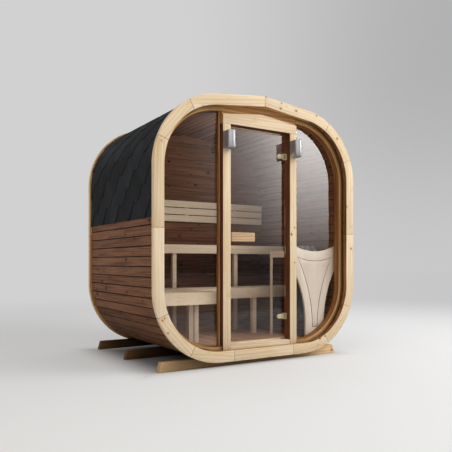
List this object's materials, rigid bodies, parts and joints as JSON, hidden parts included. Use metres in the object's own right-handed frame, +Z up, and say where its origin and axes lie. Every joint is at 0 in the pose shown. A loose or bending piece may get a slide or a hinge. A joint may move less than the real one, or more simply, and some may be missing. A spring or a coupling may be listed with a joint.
{
  "type": "outdoor sauna cabin",
  "caption": "Timber sauna cabin of rounded square section with a stave shell, shingled roof, glazed front, benches and heater.",
  "frame": {"origin": "on the ground under the middle of the cabin, at the underside of the middle bearer", "axes": "+Z up, the glazed front with the door faces -Y, +X to the right seen from the front"},
  "size_m": [2.07, 1.581, 2.268],
  "materials": {
    "pine": "planed light pine",
    "stave": "brown heat-treated pine",
    "shingle": "black mineral felt shingle",
    "bearer": "sawn impregnated pine",
    "glass": "toned tempered glass",
    "brass": "satin pale brass",
    "handle": "oiled alder",
    "aluminium": "brushed",
    "bench": "planed aspen",
    "guard": "pale panel",
    "heater": "matt black",
    "stone": "rough split stone"
  },
  "bodies": {
    "cabin": {"front_ring": "pine", "rear_ring": "pine", "base_staves": "stave", "wall_left": "stave", "wall_right": "stave", "lower_corner_left": "stave", "lower_corner_right": "stave", "upper_corner_left": "stave", "upper_corner_right": "stave", "roof_left": "stave", "roof_right": "stave", "cover_left": "shingle", "cover_right": "shingle", "rear_wall": "stave", "bearer_front": "bearer", "bearer_middle": "bearer", "bearer_rear": "bearer", "post_left": "pine", "post_right": "pine", "header": "pine", "head_board": "pine", "threshold": "pine", "frame_left": "pine", "frame_right": "pine", "bead_left": "pine", "bead_right": "pine", "glass_left": "glass", "glass_right": "glass", "hinge_brackets": "brass", "lamp_left": "aluminium", "lamp_right": "aluminium", "floor_battens": "bench", "floor_boards": "bench", "upper_bench": "bench", "upper_bench_frame": "bench", "lower_bench": "bench", "lower_bench_frame": "bench", "backrest": "bench", "guard_panel": "guard", "guard_rails": "bench", "heater": "heater", "heater_stones": "stone"},
    "door": {"door_glass": "glass", "hinge_clamps": "brass", "door_handle": "handle"}
  },
  "joints": [
    {"name": "door_swing", "type": "hinge", "parent": "cabin", "child": "door", "pos_m": [0.2875, -0.6465, 0], "axis": [0, 0, 1], "range_deg": [0, 90]}
  ]
}
